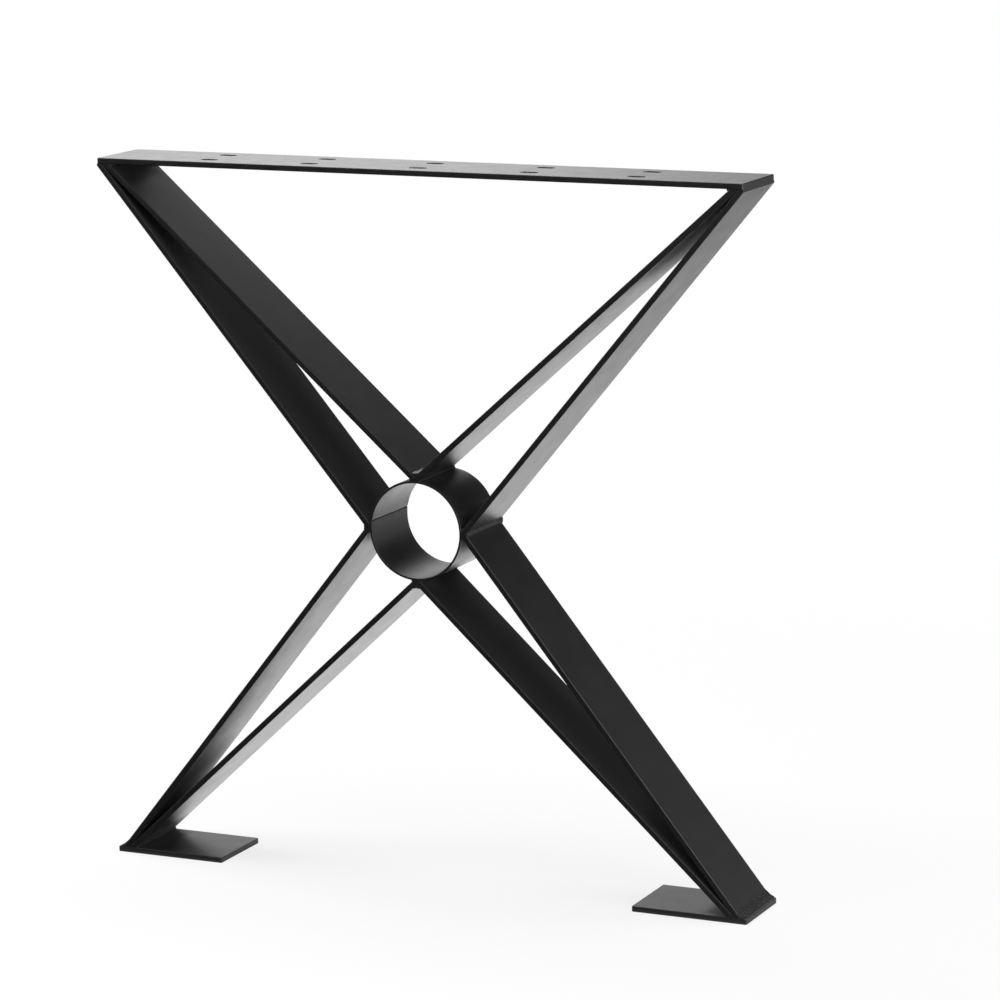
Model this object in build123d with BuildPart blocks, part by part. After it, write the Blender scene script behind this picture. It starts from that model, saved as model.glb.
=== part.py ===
"""Coffee table leg: flat-bar struts welded in an X round a centre ring, between a slotted plate and two feet.

The leg stands on the floor plane, with X along the plate, Y from front to back and Z up.
The origin lies on the floor, midway between the feet. Sizes are in millimetres.
"""
import os
from math import cos, sin, sqrt

from build123d import *

os.makedirs("parts", exist_ok=True)

# Whole leg
height = 400.0
bar_width = 45.0
edge_radius = 0.5

# Top plate and its screw slots: a middle column, with an inner and an outer column on each side
plate_length = 386.0
plate_thickness = 3.2
plate_corner_radius = 1.0
slot_length = 10.5
slot_width = 5.0
slot_row_spacing = 22.0
slot_inner_column = 66.0
slot_outer_column = 128.0

# Foot plates
foot_span = 387.2
foot_length = 67.2
foot_thickness = 3.2
foot_corner_radius = 1.0

# Centre ring, rolled from thin strip that meets in a fine seam
ring_diameter = 55.5
ring_wall = 1.2
ring_axis_height = 202.0
seam_angle = 171.9
seam_width = 0.5
seam_depth = 0.3

# Struts: the metal left between ring and valley, and how far each seat lies from its plate's end
strut_thickness = 3.2
mitre_web = 2.6
plate_heel = 7.6
strut_tip = 1.5
foot_ledge = 3.3
foot_toe = 11.5

# Weld beads: legs along the metal, and the hollow of each face as a share of its leg
valley_weld_leg = 3.2
side_valley_leg = 2.2
ring_weld_leg = 1.5
plate_weld_leg = 2.2
foot_weld_leg = 1.4
ledge_weld_leg = 5.0
hollow_share = 0.1

# Places that follow from the sizes above
plate_end = plate_length / 2
plate_underside = height - plate_thickness
foot_end = foot_span / 2
ring_radius = ring_diameter / 2
valley_reach = ring_radius + mitre_web
overrun = 4 * strut_thickness
across = Vector(0, 1, 0)
inward = Vector(-1, 0, 0)

ring_centre = Vector(0, 0, ring_axis_height)
valley_top = ring_centre + Vector(0, 0, valley_reach)
valley_right = ring_centre + Vector(valley_reach, 0, 0)
valley_bottom = ring_centre - Vector(0, 0, valley_reach)

# Seat of each right-hand strut's valley face on the plate or the foot
seats = {
    "upper_inner": Vector(plate_end - plate_heel, 0, plate_underside),
    "upper_outer": Vector(plate_end, 0, plate_underside - strut_tip),
    "lower_outer": Vector(foot_end - foot_ledge, 0, foot_thickness),
    "lower_inner": Vector(foot_end - foot_toe, 0, foot_thickness),
}
valleys = {
    "upper_inner": valley_top,
    "upper_outer": valley_right,
    "lower_outer": valley_right,
    "lower_inner": valley_bottom,
}
valley_faces = {name: Axis(valleys[name], seats[name] - valleys[name]) for name in seats}


def ring_side(name):
    """Direction through a strut's thickness, from its valley face to the face on the ring's side."""
    normal = valley_faces[name].direction.cross(across)
    return normal if normal.dot(ring_centre - valleys[name]) > 0 else -normal


ring_faces = {
    name: Axis(face.position + ring_side(name) * strut_thickness, face.direction)
    for name, face in valley_faces.items()
}


def side_plane(point, kept_side):
    """Cutting plane through a point, with its normal on the side that is kept."""
    return Plane(origin=point, x_dir=across, z_dir=kept_side)


# Cutting planes: the middle of the leg, the mitre of the right-hand V, and the faces that struts seat on
right_nose = ring_faces["upper_outer"].intersect(ring_faces["lower_outer"])
mitre_normal = across.cross(right_nose - valley_right)
middle_cut = side_plane(ring_centre, Vector(1, 0, 0))
end_cut = side_plane(Vector(plate_end, 0, 0), inward)
underside_cut = side_plane(Vector(0, 0, plate_underside), Vector(0, 0, -1))
foot_top_cut = side_plane(Vector(0, 0, foot_thickness), Vector(0, 0, 1))
upper_mate_cut = side_plane(ring_faces["upper_inner"].position, ring_side("upper_inner"))
lower_mate_cut = side_plane(ring_faces["lower_outer"].position, ring_side("lower_outer"))
strut_cuts = {
    "upper_inner": [middle_cut, underside_cut, end_cut],
    "upper_outer": [side_plane(valley_right, mitre_normal), upper_mate_cut, underside_cut, end_cut],
    "lower_outer": [side_plane(valley_right, -mitre_normal), foot_top_cut],
    "lower_inner": [middle_cut, foot_top_cut, lower_mate_cut],
}


def write_part(part, name):
    """Label a finished piece and write it as its own file."""
    part.label = name
    export_step(part, f"parts/{name}.step")


def write_pair(part, name):
    """Write a right-hand piece and its mirrored left-hand twin."""
    with BuildPart() as twin:
        mirror(part, about=Plane.YZ)
    write_part(part, f"{name}_right")
    write_part(twin.part, f"{name}_left")


# Top plate: flat bar with two rows of slots, its lower end edges square where the struts are ground flush
with BuildPart() as top_plate:
    with BuildSketch(Plane.YZ) as plate_section:
        with Locations((0, plate_underside)):
            Rectangle(bar_width, plate_thickness, align=(Align.CENTER, Align.MIN))
        fillet(plate_section.vertices().group_by(Axis.Y)[0], edge_radius)
    extrude(amount=plate_length / 2, both=True)
    with BuildSketch(Plane.XY.offset(plate_underside)):
        RectangleRounded(plate_length, bar_width, plate_corner_radius)
    extrude(amount=plate_thickness, mode=Mode.INTERSECT)
    fillet(top_plate.faces().sort_by(Axis.Z)[-1].edges(), edge_radius)
    slot_columns = [-slot_outer_column, -slot_inner_column, 0, slot_inner_column, slot_outer_column]
    slot_rows = [-slot_row_spacing / 2, slot_row_spacing / 2]
    with BuildSketch(Plane.XY.offset(height)):
        with Locations([(x, y) for x in slot_columns for y in slot_rows]):
            SlotOverall(slot_length, slot_width)
    extrude(amount=-plate_thickness, mode=Mode.SUBTRACT)
write_part(top_plate.part, "top_plate")

# Centre ring: a short tube with its axis from front to back, and a groove inside along its seam
with BuildPart() as centre_ring:
    with BuildSketch(Plane.XZ):
        with Locations((0, ring_axis_height)):
            Circle(ring_radius)
            Circle(ring_radius - ring_wall, mode=Mode.SUBTRACT)
            with PolarLocations(ring_radius - ring_wall, 1, start_angle=seam_angle):
                Rectangle(2 * seam_depth, seam_width, mode=Mode.SUBTRACT)
    extrude(amount=bar_width / 2, both=True)
write_part(centre_ring.part, "centre_ring")

# Foot plate: runs inward from the foot of the struts
with BuildPart() as foot_plate:
    with BuildSketch():
        with Locations((foot_end - foot_length / 2, 0)):
            RectangleRounded(foot_length, bar_width, foot_corner_radius)
    extrude(amount=foot_thickness)
    fillet(foot_plate.faces().filter_by(Axis.Z).edges(), edge_radius)
write_pair(foot_plate.part, "foot_plate")

# Struts: lengths of flat bar, mitred in pairs at the ring, coped to it and trimmed to their seats
for strut_name, face in valley_faces.items():
    bar_length = (seats[strut_name] - valleys[strut_name]).length + 2 * overrun
    bar_start = face.position + ring_side(strut_name) * strut_thickness / 2 - face.direction * overrun
    with BuildPart() as strut:
        with BuildSketch(Plane(origin=bar_start, x_dir=across, z_dir=face.direction)):
            RectangleRounded(bar_width, strut_thickness, edge_radius)
        extrude(amount=bar_length)
        for cut in strut_cuts[strut_name]:
            split(bisect_by=cut, keep=Keep.TOP)
        with BuildSketch(Plane.XZ):
            with Locations((0, ring_axis_height)):
                Circle(ring_radius)
        extrude(amount=bar_width, both=True, mode=Mode.SUBTRACT)
    write_pair(strut.part, f"{strut_name}_strut")


def in_sketch(point):
    """Coordinates of a point of the leg's middle plane in a sketch on that plane."""
    return (point.X, point.Z)


def mirrored(point):
    """The same point on the other side of the leg."""
    return Vector(-point.X, point.Y, point.Z)


def on_ring(contact, heading, arc):
    """Point on the ring's outside, an arc's length from a contact, on the side that a heading points to."""
    radius = contact - ring_centre
    tangent = across.cross(radius)
    if tangent.dot(heading) < 0:
        tangent = -tangent
    turn = arc / ring_radius
    return ring_centre + radius * cos(turn) + tangent * sin(turn)


def bead(corner, first_toe, last_toe, leg, root=None):
    """Weld bead in a corner, flush with the bar's edges, with a hollow face and a straight or round root."""
    middle = (first_toe + last_toe) / 2
    face_middle = middle + (corner - middle).normalized() * leg * hollow_share
    with BuildPart() as weld:
        with BuildSketch(Plane.XZ):
            with BuildLine():
                ThreePointArc(in_sketch(first_toe), in_sketch(face_middle), in_sketch(last_toe))
                if root is None:
                    Line(in_sketch(last_toe), in_sketch(corner))
                else:
                    ThreePointArc(in_sketch(last_toe), in_sketch(root), in_sketch(corner))
                Line(in_sketch(corner), in_sketch(first_toe))
            make_face()
        extrude(amount=bar_width / 2, both=True)
    return weld.part


along = {name: face.direction for name, face in valley_faces.items()}

# Beads in the valleys of the four Vs
top_toe = valley_top + along["upper_inner"] * valley_weld_leg
bottom_toe = valley_bottom + along["lower_inner"] * valley_weld_leg
right_toes = [valley_right + along[name] * side_valley_leg for name in ("upper_outer", "lower_outer")]
write_part(bead(valley_top, top_toe, mirrored(top_toe), valley_weld_leg), "valley_weld_top")
write_part(bead(valley_bottom, bottom_toe, mirrored(bottom_toe), valley_weld_leg), "valley_weld_bottom")
write_pair(bead(valley_right, *right_toes, side_valley_leg), "valley_weld")

# Beads between each strut and the ring
for strut_name, face in ring_faces.items():
    nearest = face.position + face.direction * (ring_centre - face.position).dot(face.direction)
    half_chord = sqrt(ring_radius**2 - (nearest - ring_centre).length ** 2)
    contact = nearest + face.direction * half_chord
    strut_toe = contact + face.direction * ring_weld_leg
    ring_toe = on_ring(contact, face.direction, ring_weld_leg)
    ring_root = on_ring(contact, face.direction, ring_weld_leg / 2)
    write_pair(bead(contact, strut_toe, ring_toe, ring_weld_leg, ring_root), f"{strut_name}_ring_weld")

# Beads under the plate, on the feet inside the struts, and on the ledge outside them
plate_corner = seats["upper_inner"]
plate_toes = [plate_corner + inward * plate_weld_leg, plate_corner - along["upper_inner"] * plate_weld_leg]
write_pair(bead(plate_corner, *plate_toes, plate_weld_leg), "plate_weld")

foot_corner = seats["lower_inner"]
foot_toes = [foot_corner + inward * foot_weld_leg, foot_corner - along["lower_inner"] * foot_weld_leg]
write_pair(bead(foot_corner, *foot_toes, foot_weld_leg), "foot_weld")

ledge_corner = seats["lower_outer"]
ledge_edge = ledge_corner - inward * (foot_ledge - edge_radius)
ledge_toe = ledge_corner - along["lower_outer"] * ledge_weld_leg
write_pair(bead(ledge_corner, ledge_edge, ledge_toe, ledge_weld_leg), "ledge_weld")
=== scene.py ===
"""Studio scene of a welded coffee table leg in satin black powder coat.

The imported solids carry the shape. This script gives them their finish, turns the plain weld beads into
rippled ones, shows the seam of the rolled ring, and sets the floor, the lights and the camera.
Lengths are in metres, angles in degrees, and light levels are relative to white.
"""

import math

import bpy
from mathutils import Matrix, Vector, noise


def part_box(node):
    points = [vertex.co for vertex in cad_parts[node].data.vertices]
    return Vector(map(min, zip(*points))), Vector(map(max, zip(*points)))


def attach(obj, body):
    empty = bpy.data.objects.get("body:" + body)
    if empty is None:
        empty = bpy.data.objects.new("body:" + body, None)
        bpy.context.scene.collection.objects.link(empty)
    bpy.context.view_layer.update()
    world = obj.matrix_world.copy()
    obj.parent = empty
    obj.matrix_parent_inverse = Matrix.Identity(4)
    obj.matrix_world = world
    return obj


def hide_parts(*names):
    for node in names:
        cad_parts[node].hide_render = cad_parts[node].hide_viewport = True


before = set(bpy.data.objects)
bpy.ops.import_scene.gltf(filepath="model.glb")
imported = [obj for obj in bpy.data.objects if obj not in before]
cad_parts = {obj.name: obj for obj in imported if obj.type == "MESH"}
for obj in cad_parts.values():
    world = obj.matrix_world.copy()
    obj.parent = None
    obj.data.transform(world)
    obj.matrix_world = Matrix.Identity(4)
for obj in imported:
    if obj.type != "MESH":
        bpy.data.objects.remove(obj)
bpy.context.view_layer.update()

# Camera at the photograph's angle, its sensor and lens in millimetres
VIEW_AZIMUTH = 24.921
VIEW_ELEVATION = 11.215
VIEW_ROLL = -0.851
VIEW_DISTANCE = 2.3172
AIM_RIGHT = 0.0371
AIM_HEIGHT = 0.2146
SENSOR_WIDTH = 36.0
FOCAL_LENGTH = 151.45

# Floor: shaded near the leg, and fading to plain white around it
FLOOR_SIZE = 24.0
FLOOR_COLOUR = 0.9
FLOOR_WHITE_NEAR = 0.78
FLOOR_FADE = (0.3, 0.9)

# Light of the world and of the lamp, whose power is in watts
SKY_LIGHT = 0.3
SKY_WHITE = 1.0
TOP_LIGHT_POWER = 52.0
TOP_LIGHT_PLACE = (-0.4, -0.1, 2.2)
TOP_LIGHT_SIZE = (1.8, 1.8)

# Studio cards, which show only as reflections on the leg: how they stand, and their lift off the floor
LYING = 0.0
STANDING = 90.0
CARD_LIFT = 0.0006

# Wall behind the leg, which glows towards its upper left
WALL_DARK = 0.07
WALL_BRIGHT = 2.9
WALL_SIZE = (3.6, 1.8)
WALL_DISTANCE = 1.25
WALL_LOW_SHARE = 0.08
GLOW_X = (-0.01, -0.62)
GLOW_Z = (0.4, 0.68)

# Sweep of bright floor behind the leg, dark at its right and a little dimmer far away
SWEEP_DARK = 0.15
SWEEP_BRIGHT = 2.5
SWEEP_FAR_SHARE = 0.9
SWEEP_DIM = (0.6, 0.1)
SWEEP_WIDTH = 2.4
SWEEP_RIGHT = (0.34, 0.04)
SWEEP_Y = (0.03, 1.2)

# Cove, the low upright end of the sweep, dimmer at its left
COVE_HEIGHT = 0.25
COVE_LEFT = (-0.6, -0.2)
COVE_LEFT_SHARE = 0.1

# Dark floor and board in front of the leg, lighter at their right, and a dark flag above them
FRONT_DARK = 0.04
FRONT_BRIGHT = 0.6
FRONT_RIGHT = (0.0, 0.6)
FRONT_WIDTH = 3.0
FRONT_X = -0.5
FRONT_Y = (-1.14, -0.0235)
FRONT_HEIGHT = 0.6
FLAG_SIZE = (1.3, 1.1)
FLAG_PLACE = (-0.1, -0.6, 1.0)

# Fill card behind the leg at its right, and a bright key card in front at its right, turned to it
FILL_LEVEL = 1.25
FILL_SIZE = (0.7, 0.45)
FILL_PLACE = (1.05, 1.2)
KEY_LEVEL = 14.0
KEY_SIZE = (0.5, 1.5)
KEY_PLACE = (1.6, -0.75)
KEY_TURN = 65.0

# Powder coat: faint clouds in its black and its gloss, and the scale and depth of its orange peel
COAT_COLOURS = ((0.0055, 0.0055, 0.0058), (0.0085, 0.0085, 0.009))
COAT_ROUGHNESS = (0.41, 0.45)
COAT_SPECULAR = 0.5
COAT_SPREAD = (0.3, 0.7)
CLOUD_SCALE = 90.0
CLOUD_DETAIL = 2.0
PEEL_LAYERS = ((420.0, 0.000012), (1700.0, 0.000004))
PEEL_DETAIL = 0.0

# Drier coat of tight corners, which the powder hardly reaches
CORNER_REACH = 0.013
CORNER_SAMPLES = 8
CORNER_OPENNESS = (0.3, 0.8)
CORNER_ROUGHNESS = 0.35

# Weld beads: the mesh that carries the ripples, their size, and the drop where a run ends at the back
BEAD_VOXEL = 0.00035
BEAD_SMOOTHING = 4
BEAD_SWELL = 0.00008
BEAD_FULL_SIZE = 0.0015
RIPPLE_PITCH = 0.002
RIPPLE_HEIGHT = 0.000035
RIPPLE_MIDDLE = 0.5
RIPPLE_WAVER = 1.5
LUMP_SIZE = 0.0016
LUMP_HEIGHT = 0.0003
DROP_LENGTH = 0.0045
DROP_HEIGHT = 0.0007

# Centre ring: the seam of the rolled strip, with a short flat on each side of it
RING_WALL = 0.0012
RING_STEPS = 240
RING_ROUNDING = 0.0002
RING_CORNER_SHARE = 0.3
SEAM_ANGLE = 171.9
SEAM_FLAT = 0.0035
SEAM_WIDTH = 0.0005
SEAM_DEPTH = 0.0003
SEAM_FLOOR = 0.7


def node_tree(owner):
    """An empty node tree of a material or world, with its nodes and a function that links two sockets."""
    owner.use_nodes = True
    tree = owner.node_tree
    tree.nodes.clear()
    return tree.nodes, tree.links.new


def join_sockets(nodes, link, operation, first, last):
    """Socket with the clamped sum or product of two others."""
    join = nodes.new("ShaderNodeMath")
    join.operation = operation
    join.use_clamp = True
    link(first, join.inputs[0])
    link(last, join.inputs[1])
    return join.outputs[0]


def fade_over(nodes, link, socket, ends, levels, course="SMOOTHSTEP"):
    """Socket that goes between two levels as another one goes from the first end to the last."""
    fade = nodes.new("ShaderNodeMapRange")
    fade.interpolation_type = course
    fade.inputs["From Min"].default_value = ends[0]
    fade.inputs["From Max"].default_value = ends[1]
    fade.inputs["To Min"].default_value = levels[0]
    fade.inputs["To Max"].default_value = levels[1]
    link(socket, fade.inputs["Value"])
    return fade.outputs["Result"]


def seen_directly(nodes, link):
    """Socket that is 1 for camera, glossy and transmission rays, and 0 for light that falls on things."""
    rays = nodes.new("ShaderNodeLightPath")
    seen = rays.outputs["Is Camera Ray"]
    for name in ("Is Glossy Ray", "Is Transmission Ray"):
        seen = join_sockets(nodes, link, "ADD", seen, rays.outputs[name])
    return seen


def add_world():
    """White studio, which lights the scene more softly than it shows."""
    world = bpy.data.worlds.new("studio")
    bpy.context.scene.world = world
    nodes, link = node_tree(world)
    mix = nodes.new("ShaderNodeMixShader")
    output = nodes.new("ShaderNodeOutputWorld")
    for place, strength in ((1, SKY_LIGHT), (2, SKY_WHITE)):
        background = nodes.new("ShaderNodeBackground")
        background.inputs["Color"].default_value = (1, 1, 1, 1)
        background.inputs["Strength"].default_value = strength
        link(background.outputs[0], mix.inputs[place])
    link(seen_directly(nodes, link), mix.inputs["Fac"])
    link(mix.outputs[0], output.inputs["Surface"])


def add_panel(name, size, material):
    """Flat rectangle in its own XY plane, centred on its origin, for the studio."""
    mesh = bpy.data.meshes.new(name)
    corners = [(x * size[0] / 2, y * size[1] / 2, 0) for x, y in ((-1, -1), (1, -1), (1, 1), (-1, 1))]
    mesh.from_pydata(corners, [], [(0, 1, 2, 3)])
    mesh.materials.append(material)
    panel = bpy.data.objects.new(name, mesh)
    bpy.context.scene.collection.objects.link(panel)
    return panel


def add_floor():
    """Pale floor that shows as white and keeps a faint shadow."""
    material = bpy.data.materials.new("studio_floor")
    nodes, link = node_tree(material)
    shaded = nodes.new("ShaderNodeBsdfDiffuse")
    shaded.inputs["Color"].default_value = (FLOOR_COLOUR, FLOOR_COLOUR, FLOOR_COLOUR, 1)
    white = nodes.new("ShaderNodeEmission")
    place = nodes.new("ShaderNodeNewGeometry")
    distance = nodes.new("ShaderNodeVectorMath")
    distance.operation = "LENGTH"
    mix = nodes.new("ShaderNodeMixShader")
    output = nodes.new("ShaderNodeOutputMaterial")
    link(place.outputs["Position"], distance.inputs[0])
    whiteness = fade_over(nodes, link, distance.outputs["Value"], FLOOR_FADE, (FLOOR_WHITE_NEAR, 1))
    link(join_sockets(nodes, link, "MULTIPLY", seen_directly(nodes, link), whiteness), mix.inputs["Fac"])
    link(shaded.outputs[0], mix.inputs[1])
    link(white.outputs[0], mix.inputs[2])
    link(mix.outputs[0], output.inputs["Surface"])
    add_panel("floor", (FLOOR_SIZE, FLOOR_SIZE), material)


def card_material(name, dark, bright, fades):
    """Glow from dark to bright: each fade names an axis, the ends along it and its least share."""
    material = bpy.data.materials.new(name)
    nodes, link = node_tree(material)
    glow = nodes.new("ShaderNodeEmission")
    glow.inputs["Strength"].default_value = dark
    output = nodes.new("ShaderNodeOutputMaterial")
    link(glow.outputs[0], output.inputs["Surface"])
    if fades:
        place = nodes.new("ShaderNodeNewGeometry")
        axes = nodes.new("ShaderNodeSeparateXYZ")
        link(place.outputs["Position"], axes.inputs[0])
        share = None
        for axis, ends, least in fades:
            fade = fade_over(nodes, link, axes.outputs[axis], ends, (least, 1))
            share = fade if share is None else join_sockets(nodes, link, "MULTIPLY", share, fade)
        link(fade_over(nodes, link, share, (0, 1), (dark, bright), "LINEAR"), glow.inputs["Strength"])
    return material


def add_card(name, size, centre, tilt, dark, bright=None, fades=None, turn=0):
    """Studio card, lying or standing, that shows only as a reflection on the leg."""
    card = add_panel(name, size, card_material(name, dark, bright, fades))
    card.location = centre
    card.rotation_euler = (math.radians(tilt), 0, math.radians(turn))
    card.visible_camera = False
    card.visible_diffuse = False
    card.visible_transmission = False
    card.visible_shadow = False


def add_cards():
    """Glowing wall, floor and cove behind the leg, fill and key at its right, and dark cards in front."""
    wall_centre = (0, WALL_DISTANCE, WALL_SIZE[1] / 2)
    wall_fades = [("X", GLOW_X, 0), ("Z", GLOW_Z, WALL_LOW_SHARE)]
    add_card("wall", WALL_SIZE, wall_centre, STANDING, WALL_DARK, WALL_BRIGHT, wall_fades)
    sweep_size = (SWEEP_WIDTH, SWEEP_Y[1] - SWEEP_Y[0])
    sweep_centre = (0, sum(SWEEP_Y) / 2, CARD_LIFT)
    sweep_fades = [("X", SWEEP_RIGHT, 0), ("Y", SWEEP_DIM, SWEEP_FAR_SHARE)]
    add_card("sweep", sweep_size, sweep_centre, LYING, SWEEP_DARK, SWEEP_BRIGHT, sweep_fades)
    cove_size = (SWEEP_WIDTH, COVE_HEIGHT)
    cove_fades = [("X", SWEEP_RIGHT, 0), ("X", COVE_LEFT, COVE_LEFT_SHARE)]
    cove_centre = (0, SWEEP_Y[1], COVE_HEIGHT / 2)
    add_card("cove", cove_size, cove_centre, STANDING, SWEEP_DARK, SWEEP_BRIGHT, cove_fades)
    add_card("fill", FILL_SIZE, (*FILL_PLACE, FILL_SIZE[1] / 2), STANDING, FILL_LEVEL)
    front_fades = [("X", FRONT_RIGHT, 0)]
    floor_size = (FRONT_WIDTH, FRONT_Y[1] - FRONT_Y[0])
    floor_centre = (FRONT_X, sum(FRONT_Y) / 2, CARD_LIFT)
    add_card("front_floor", floor_size, floor_centre, LYING, FRONT_DARK, FRONT_BRIGHT, front_fades)
    board_size = (FRONT_WIDTH, FRONT_HEIGHT)
    board_centre = (FRONT_X, FRONT_Y[0], FRONT_HEIGHT / 2)
    add_card("front_board", board_size, board_centre, STANDING, FRONT_DARK, FRONT_BRIGHT, front_fades)
    add_card("flag", FLAG_SIZE, FLAG_PLACE, LYING, FRONT_DARK)
    add_card("key", KEY_SIZE, (*KEY_PLACE, KEY_SIZE[1] / 2), STANDING, KEY_LEVEL, turn=KEY_TURN)


def add_top_light():
    """Soft overhead light."""
    light = bpy.data.lights.new("top_light", "AREA")
    light.shape = "RECTANGLE"
    light.size, light.size_y = TOP_LIGHT_SIZE
    light.energy = TOP_LIGHT_POWER
    lamp = bpy.data.objects.new("top_light", light)
    lamp.location = TOP_LIGHT_PLACE
    lamp.visible_camera = False
    bpy.context.scene.collection.objects.link(lamp)


def add_camera():
    """Camera at the photograph's place, level apart from a slight roll."""
    azimuth = math.radians(VIEW_AZIMUTH)
    elevation = math.radians(VIEW_ELEVATION)
    right = Vector((math.cos(azimuth), math.sin(azimuth), 0))
    back = right.cross(Vector((0, 0, 1))) * math.cos(elevation) + Vector((0, 0, math.sin(elevation)))
    place = Vector((0, 0, AIM_HEIGHT)) + right * AIM_RIGHT + back * VIEW_DISTANCE
    level = Matrix((right, back.cross(right), back)).transposed()
    turn = level @ Matrix.Rotation(math.radians(VIEW_ROLL), 3, "Z")
    lens = bpy.data.cameras.new("camera")
    lens.sensor_width = SENSOR_WIDTH
    lens.lens = FOCAL_LENGTH
    camera = bpy.data.objects.new("camera", lens)
    camera.matrix_world = Matrix.Translation(place) @ turn.to_4x4()
    bpy.context.scene.collection.objects.link(camera)
    bpy.context.scene.camera = camera


def powder_coat():
    """Satin black powder coat: near black and a little uneven, with fine orange peel and drier corners."""
    material = bpy.data.materials.new("powder_coat")
    nodes, link = node_tree(material)
    place = nodes.new("ShaderNodeTexCoord")
    coat = nodes.new("ShaderNodeBsdfPrincipled")
    coat.inputs["Specular IOR Level"].default_value = COAT_SPECULAR
    output = nodes.new("ShaderNodeOutputMaterial")
    link(coat.outputs[0], output.inputs["Surface"])

    def noise_over(scale, detail):
        """Socket with noise that has features of about one over its scale."""
        pattern = nodes.new("ShaderNodeTexNoise")
        pattern.inputs["Scale"].default_value = scale
        pattern.inputs["Detail"].default_value = detail
        link(place.outputs["Object"], pattern.inputs["Vector"])
        return pattern.outputs["Fac"]

    cloud = noise_over(CLOUD_SCALE, CLOUD_DETAIL)
    tint = nodes.new("ShaderNodeValToRGB")
    for stop, end, colour in zip(tint.color_ramp.elements, COAT_SPREAD, COAT_COLOURS):
        stop.position = end
        stop.color = (*colour, 1)
    link(cloud, tint.inputs["Fac"])
    link(tint.outputs["Color"], coat.inputs["Base Color"])
    gloss = fade_over(nodes, link, cloud, COAT_SPREAD, COAT_ROUGHNESS, "LINEAR")
    corner = nodes.new("ShaderNodeAmbientOcclusion")
    corner.samples = CORNER_SAMPLES
    corner.inputs["Distance"].default_value = CORNER_REACH
    openness = corner.outputs["AO"]
    dryness = fade_over(nodes, link, openness, CORNER_OPENNESS, (CORNER_ROUGHNESS, 0), "LINEAR")
    link(join_sockets(nodes, link, "ADD", gloss, dryness), coat.inputs["Roughness"])
    normal = None
    for scale, depth in PEEL_LAYERS:
        bump = nodes.new("ShaderNodeBump")
        bump.inputs["Strength"].default_value = 1
        bump.inputs["Distance"].default_value = depth
        link(noise_over(scale, PEEL_DETAIL), bump.inputs["Height"])
        if normal is not None:
            link(normal, bump.inputs["Normal"])
        normal = bump.outputs["Normal"]
    link(normal, coat.inputs["Normal"])
    return material


def add_piece(name, mesh, node, material):
    """A finished piece that stands for a solid of the frame."""
    mesh.materials.clear()
    mesh.materials.append(material)
    mesh.shade_smooth()
    piece = bpy.data.objects.new(name, mesh)
    bpy.context.scene.collection.objects.link(piece)
    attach(piece, "root")
    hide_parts(node)
    return piece


def remeshed(node):
    """Even, rounded copy of a weld bead's mesh."""
    copy = bpy.data.objects.new("bead_copy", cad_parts[node].data.copy())
    bpy.context.scene.collection.objects.link(copy)
    remesh = copy.modifiers.new("remesh", "REMESH")
    remesh.mode = "VOXEL"
    remesh.voxel_size = BEAD_VOXEL
    smooth = copy.modifiers.new("smooth", "SMOOTH")
    smooth.iterations = BEAD_SMOOTHING
    mesh = bpy.data.meshes.new_from_object(copy.evaluated_get(bpy.context.evaluated_depsgraph_get()))
    bpy.data.objects.remove(copy)
    return mesh


def add_bead(node, material, drop_height):
    """Weld bead with faint ripples along its run, uneven lumps, a drop at its back end, and flush ends."""
    mesh = remeshed(node)
    low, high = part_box(node)
    start = noise.noise(low / LUMP_SIZE)
    coarseness = min(min(high.x - low.x, high.z - low.z) / BEAD_FULL_SIZE, 1)
    places = [vertex.co.copy() for vertex in mesh.vertices]
    normals = [vertex.normal.copy() for vertex in mesh.vertices]
    for vertex, place, normal in zip(mesh.vertices, places, normals):
        lump = noise.noise(place / LUMP_SIZE)
        ripple = abs(math.sin(math.pi * (place.y / RIPPLE_PITCH + start + RIPPLE_WAVER * lump)))
        drop = max(1 - (high.y - place.y) / DROP_LENGTH, 0)
        wave = RIPPLE_HEIGHT * (ripple - RIPPLE_MIDDLE)
        relief = coarseness * (BEAD_SWELL + wave + LUMP_HEIGHT * lump)
        vertex.co = place + normal * (relief + drop_height * drop) * (1 - abs(normal.y))
    add_piece(f"{node}.bead", mesh, node, material)


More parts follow.
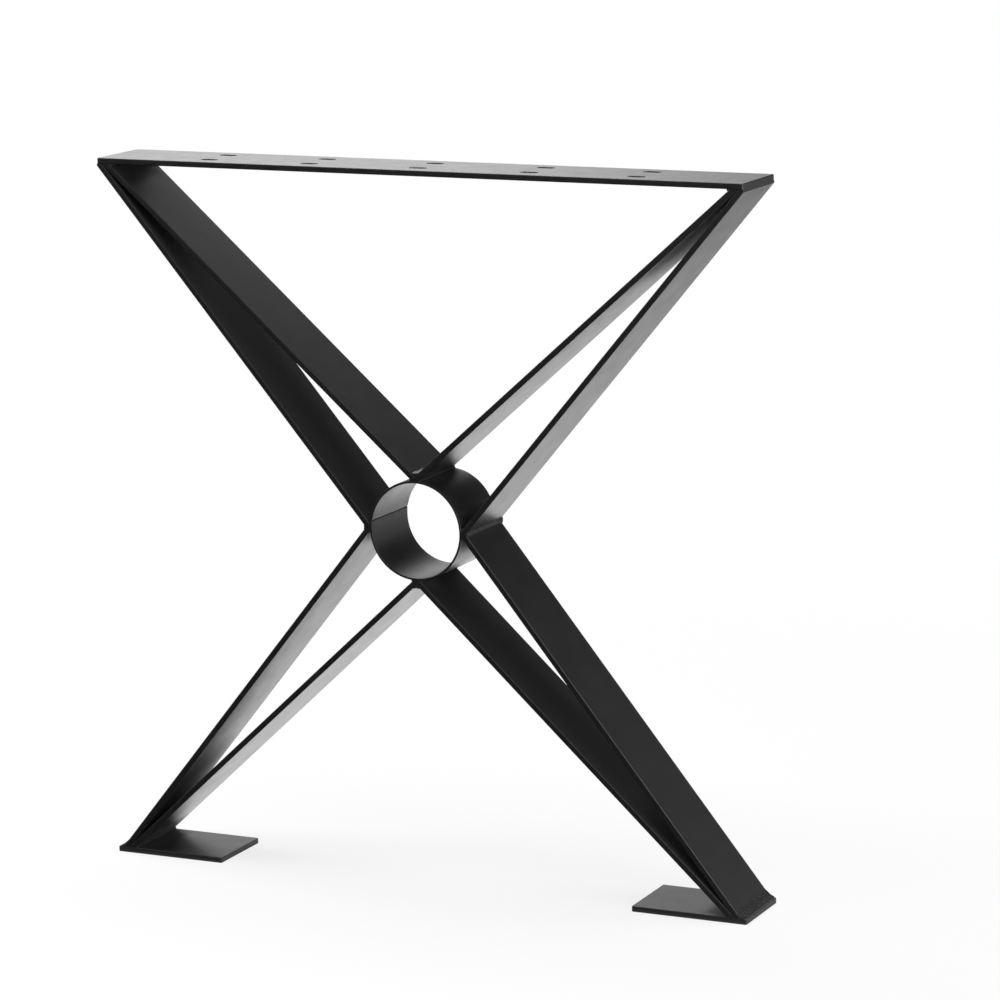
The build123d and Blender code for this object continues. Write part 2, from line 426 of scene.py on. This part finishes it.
def add_ring(material):
    """Centre ring whose rolled strip meets in a seam, with short flats that end in a fine groove."""
    low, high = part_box("centre_ring")
    outer = (high.x - low.x) / 2
    inner = outer - RING_WALL
    centre = Vector(((low.x + high.x) / 2, 0, (low.z + high.z) / 2))
    flat = SEAM_FLAT / inner
    groove = SEAM_WIDTH / 2 / inner
    edges = [share * groove for share in (-1, -SEAM_FLOOR, SEAM_FLOOR, 1)]
    step = 2 * math.pi / RING_STEPS
    turns = edges + [index * step for index in range(1, RING_STEPS)]
    soft = RING_ROUNDING * RING_CORNER_SHARE
    corners = [(RING_ROUNDING, 0), (soft, soft), (0, RING_ROUNDING)]
    vertices = []
    for turn in turns:
        away = min(abs(turn), 2 * math.pi - turn)
        hollow = inner / math.cos(max(flat - away, 0))
        if away < groove:
            hollow += SEAM_DEPTH
        profile = [(hollow + across, low.y + along) for across, along in corners]
        profile += [(hollow + across, high.y - along) for across, along in reversed(corners)]
        profile += [(outer - across, high.y - along) for across, along in corners]
        profile += [(outer - across, low.y + along) for across, along in reversed(corners)]
        angle = math.radians(SEAM_ANGLE) + turn
        spoke = Vector((math.cos(angle), 0, math.sin(angle)))
        vertices += [centre + spoke * radius + Vector((0, depth, 0)) for radius, depth in profile]
    count = len(vertices) // len(turns)
    faces = []
    for index in range(len(turns)):
        here = index * count
        there = (index + 1) % len(turns) * count
        for corner in range(count):
            after = (corner + 1) % count
            faces.append((here + corner, here + after, there + after, there + corner))
    mesh = bpy.data.meshes.new("centre_ring.seamed")
    mesh.from_pydata(vertices, [], faces)
    ring = add_piece("centre_ring.seamed", mesh, "centre_ring", material)
    ring.modifiers.new("flat_walls", "WEIGHTED_NORMAL")


# Studio
add_camera()
add_world()
add_floor()
add_cards()
add_top_light()

# Leg
coat = powder_coat()
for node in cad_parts.values():
    node.data.materials.clear()
    node.data.materials.append(coat)
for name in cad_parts:
    if "weld" in name:
        add_bead(name, coat, 0 if "ledge" in name else DROP_HEIGHT)
add_ring(coat)

# Colour view
bpy.context.scene.view_settings.view_transform = "Standard"
